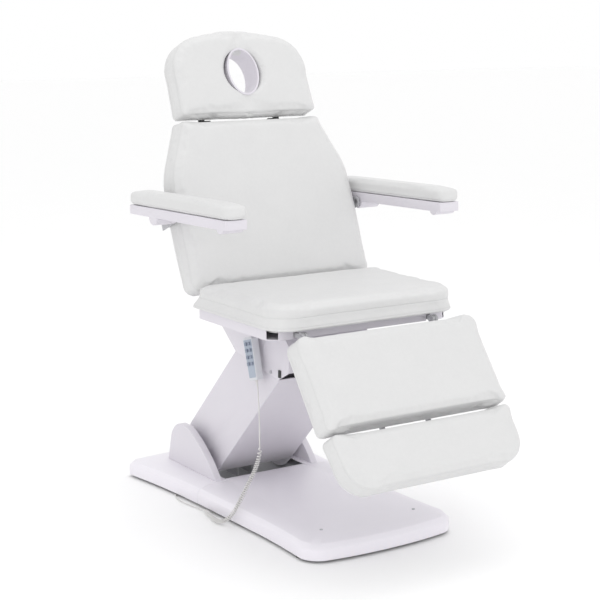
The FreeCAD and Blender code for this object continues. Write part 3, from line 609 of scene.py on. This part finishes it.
LEAD: tuple[Point, ...] = (
    (-0.1725, -0.09183, 0.43503), (-0.1725, -0.09762, 0.41484), (-0.172, -0.101, 0.375),
    (-0.1715, -0.104, 0.322), (-0.171, -0.105, 0.284), (-0.171, -0.104, 0.236),
)
CURL: tuple[Point, ...] = (
    (-0.171, -0.10333, 0.204), (-0.187, -0.105, 0.163), (-0.216, -0.108, 0.120), (-0.257, -0.121, 0.070),
    (-0.284, -0.108, 0.025), (-0.295, -0.066, 0.0072), (-0.288, -0.020, 0.0072), (-0.279, 0.024, 0.0072),
)
TAIL: tuple[Point, ...] = (
    (-0.27266, 0.055, 0.0072), (-0.275, 0.090, 0.0027), (-0.281, 0.126, 0.0024), (-0.286, 0.160, 0.0025),
    (-0.286, 0.190, 0.0024), (-0.281, 0.218, 0.0025), (-0.272, 0.244, 0.0024), (-0.252, 0.268, 0.0026),
    (-0.236, 0.279, 0.008), (-0.226, 0.286, 0.020), (-0.206, 0.286, 0.020),
)


@dataclass
class HandsetCord:
    """The handset's cord: a plain lead, a curly stretch and a thin tail under the base."""

    thickness: float = 0.0040
    coil: float = 0.0140
    pitch: float = 0.0064
    steps: int = 14
    taper: float = 0.02         # the coil's ends grow and shrink over this length
    loosening: float = 1.6      # how much wider the pitch is where the coil starts
    loose_length: float = 0.05
    plain_step: float = 0.006

    def route(self) -> list[Vector]:
        """Points along the smooth middle line of the whole cord.

        Returns:
            The points, in the row frame.
        """
        line = bpy.data.curves.new("cord_route", "CURVE")
        line.dimensions = "3D"
        line.resolution_u = 24
        controls = [Vector(p) + Vector((0, BASE_SHIFT, 0)) for p in LEAD + CURL + TAIL]
        spline = line.splines.new("NURBS")
        spline.points.add(len(controls) - 1)
        for point, control in zip(spline.points, controls):
            point.co = (*control, 1.0)
        spline.order_u = 3
        spline.use_endpoint_u = True
        bare = bpy.data.objects.new("cord_route", line)
        mesh = bpy.data.meshes.new_from_object(bare)
        points = [vertex.co.copy() for vertex in mesh.vertices]
        bpy.data.meshes.remove(mesh)
        bpy.data.objects.remove(bare)
        return points

    def wound(self, route: Sequence[Vector]) -> list[Vector]:
        """The wire's own line: along the route, and round it where the cord is curly.

        Args:
            route: points of the middle line.

        Returns:
            Points of the wire's centre.
        """
        lengths = [0.0]
        for before, after in zip(route, route[1:]):
            lengths.append(lengths[-1] + (after - before).length)

        def at(distance: float) -> tuple[Vector, Vector]:
            """The place and the heading at a distance along the route."""
            index = next((i for i, run in enumerate(lengths[1:]) if run >= distance), len(lengths) - 2)
            step = route[index + 1] - route[index]
            share = (distance - lengths[index]) / max(step.length, 1e-9)
            return route[index] + step * share, step.normalized()

        def nearest(target: Point) -> float:
            """The distance along the route of its point nearest to a base place."""
            goal = Vector(target) + Vector((0, BASE_SHIFT, 0))
            return lengths[min(range(len(route)), key=lambda i: (route[i] - goal).length)]

        first, last = nearest(LEAD[-1]), nearest(TAIL[0])
        radius = (self.coil - self.thickness) / 2
        points: list[Vector] = []
        distance = 0.0
        angle = 0.0
        side = Vector((1, 0, 0))
        while distance < lengths[-1]:
            place, heading = at(distance)
            side = (side - heading * side.dot(heading)).normalized()
            inside = min(distance - first, last - distance)
            swing = radius * min(1.0, max(0.0, inside / self.taper))
            across = heading.cross(side)
            points.append(place + (side * math.cos(angle) + across * math.sin(angle)) * swing)
            if first < distance < last:
                slack = 1.0 + self.loosening * max(0.0, 1.0 - (distance - first) / self.loose_length)
                distance += self.pitch * slack / self.steps
                angle += 2 * math.pi / self.steps
            else:
                distance += self.plain_step
        points.append(route[-1].copy())
        return points

    def tube(self, points: Sequence[Vector]) -> bpy.types.Object:
        """A round tube along those points, as a mesh.

        Args:
            points: the wire's centre.

        Returns:
            The tube.
        """
        line = bpy.data.curves.new("handset_cord", "CURVE")
        line.dimensions = "3D"
        line.bevel_depth = self.thickness / 2
        line.bevel_resolution = 2
        line.use_fill_caps = True
        spline = line.splines.new("POLY")
        spline.points.add(len(points) - 1)
        for point, place in zip(spline.points, points):
            point.co = (*place, 1.0)
        piece = bpy.data.objects.new("handset_cord", line)
        bpy.context.collection.objects.link(piece)
        alone(piece)
        bpy.ops.object.convert(target="MESH")
        bpy.ops.object.shade_smooth()
        return bpy.context.view_layer.objects.active

    def relief(self, start: Vector, heading: Vector) -> bpy.types.Object:
        """The ribbed taper where the cord leaves the handset.

        Args:
            start: where the cord leaves.
            heading: which way it leaves.

        Returns:
            The taper.
        """
        bpy.ops.object.select_all(action="DESELECT")
        bpy.ops.mesh.primitive_cone_add(vertices=24, radius1=0.0048, radius2=0.0026, depth=0.018)
        piece = bpy.context.view_layer.objects.active
        piece.name = "cord_relief"
        bpy.ops.object.mode_set(mode="EDIT")
        for height in (-0.0060, -0.0042, -0.0024, -0.0006, 0.0012, 0.0030, 0.0048):
            bpy.ops.mesh.select_all(action="SELECT")
            bpy.ops.mesh.bisect(plane_co=(0, 0, height), plane_no=(0, 0, 1))
        bpy.ops.object.mode_set(mode="OBJECT")
        for vertex in piece.data.vertices:
            if abs(vertex.co.z) < 0.0055:
                ring = round((vertex.co.z + 0.006) / 0.0018)
                vertex.co.x *= 0.86 if ring % 2 else 1.04
                vertex.co.y *= 0.86 if ring % 2 else 1.04
        applied(piece, "BEVEL", width=0.0004, segments=2, limit_method="ANGLE", angle_limit=math.radians(25))
        piece.rotation_mode = "QUATERNION"
        piece.rotation_quaternion = heading.to_track_quat("Z", "Y")
        piece.location = start + heading * 0.008
        settle(piece)
        bpy.ops.object.shade_smooth_by_angle(angle=math.radians(40))
        dress(piece, finish_of(Finish.SHEATH))
        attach(piece, "carriage")
        return piece

    def build(self) -> None:
        """Makes the cord and its taper."""
        route = self.route()
        points = self.wound(route)
        length = sum((b - a).length for a, b in zip(points, points[1:]))
        piece = self.tube(points)
        dress(piece, finish_of(Finish.SHEATH))
        heading = (route[1] - route[0]).normalized()
        relief = self.relief(route[0], heading)
        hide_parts("cord_lead", "cord_curl", "cord_tail")
        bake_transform(piece)
        LOG.info("cord: %.2f m of wire along %.2f m", length,
                 sum((b - a).length for a, b in zip(route, route[1:])))


# ---- setting -------------------------------------------------------------------------------

@dataclass
class Studio:
    """Pale floor, soft lights and the camera."""

    lens: float = 89.87
    eye: Point = (-2.4517, -3.6649, 1.5)
    tilt: float = 79.265
    swing: float = -33.371

    def floor(self) -> None:
        """A wide flat pale floor."""
        bpy.ops.object.select_all(action="DESELECT")
        bpy.ops.mesh.primitive_plane_add(size=60.0, location=(0, 0, -0.0005))
        ground = bpy.context.view_layer.objects.active
        ground.name = "floor"
        settle(ground)
        dress(ground, finish_of(Finish.FLOOR))

    def camera(self) -> None:
        """The camera at its standing place."""
        data = bpy.data.cameras.new("camera")
        data.lens = self.lens
        data.sensor_width = 36.0
        data.clip_end = 200.0
        camera = bpy.data.objects.new("camera", data)
        camera.location = self.eye
        camera.rotation_euler = (math.radians(self.tilt), 0.0, math.radians(self.swing))
        bpy.context.collection.objects.link(camera)
        bpy.context.scene.camera = camera

    def lamp(self, name: str, place: Point, size: float, power: float) -> None:
        """A square soft light aimed at the bed's middle.

        Args:
            name: the light's name.
            place: where it hangs.
            size: the side of the square.
            power: its power in watts.
        """
        data = bpy.data.lights.new(name, "AREA")
        data.size = size
        data.energy = power
        lamp = bpy.data.objects.new(name, data)
        lamp.location = place
        lamp.rotation_euler = (Vector((0, 0, 0.7)) - Vector(place)).to_track_quat("-Z", "Y").to_euler()
        bpy.context.collection.objects.link(lamp)

    def build(self) -> None:
        """Sets floor, camera, lights and the pale surroundings."""
        self.floor()
        self.camera()
        self.lamp("top_light", (0.3, 0.2, 4.2), 3.2, 24.0)
        self.lamp("key_light", (-3.2, -3.0, 1.8), 2.4, 20.0)
        self.lamp("fill_light", (2.8, -3.6, 1.3), 2.4, 12.0)
        world = bpy.data.worlds.new("surroundings")
        world.use_nodes = True
        world.node_tree.nodes["Background"].inputs[0].default_value = (1.0, 1.0, 1.0, 1.0)
        world.node_tree.nodes["Background"].inputs[1].default_value = 1.0
        bpy.context.scene.world = world
        bpy.context.scene.view_settings.view_transform = "Standard"
        LOG.info("studio set")


def main() -> None:
    """Builds the bed's looks and its setting."""
    logging.basicConfig(level=logging.INFO, format="%(message)s")
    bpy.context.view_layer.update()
    Studio().build()
    HandsetCord().build()
    Upholstery().build()
    Mouldings().build()
    dress_bare_pieces()


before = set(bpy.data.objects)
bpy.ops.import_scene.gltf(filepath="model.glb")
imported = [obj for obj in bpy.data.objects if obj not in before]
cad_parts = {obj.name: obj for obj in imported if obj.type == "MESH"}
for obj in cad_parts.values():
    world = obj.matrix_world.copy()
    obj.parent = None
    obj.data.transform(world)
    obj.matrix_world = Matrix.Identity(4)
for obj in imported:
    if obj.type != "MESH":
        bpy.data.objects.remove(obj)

if __name__ == "__main__":
    main()
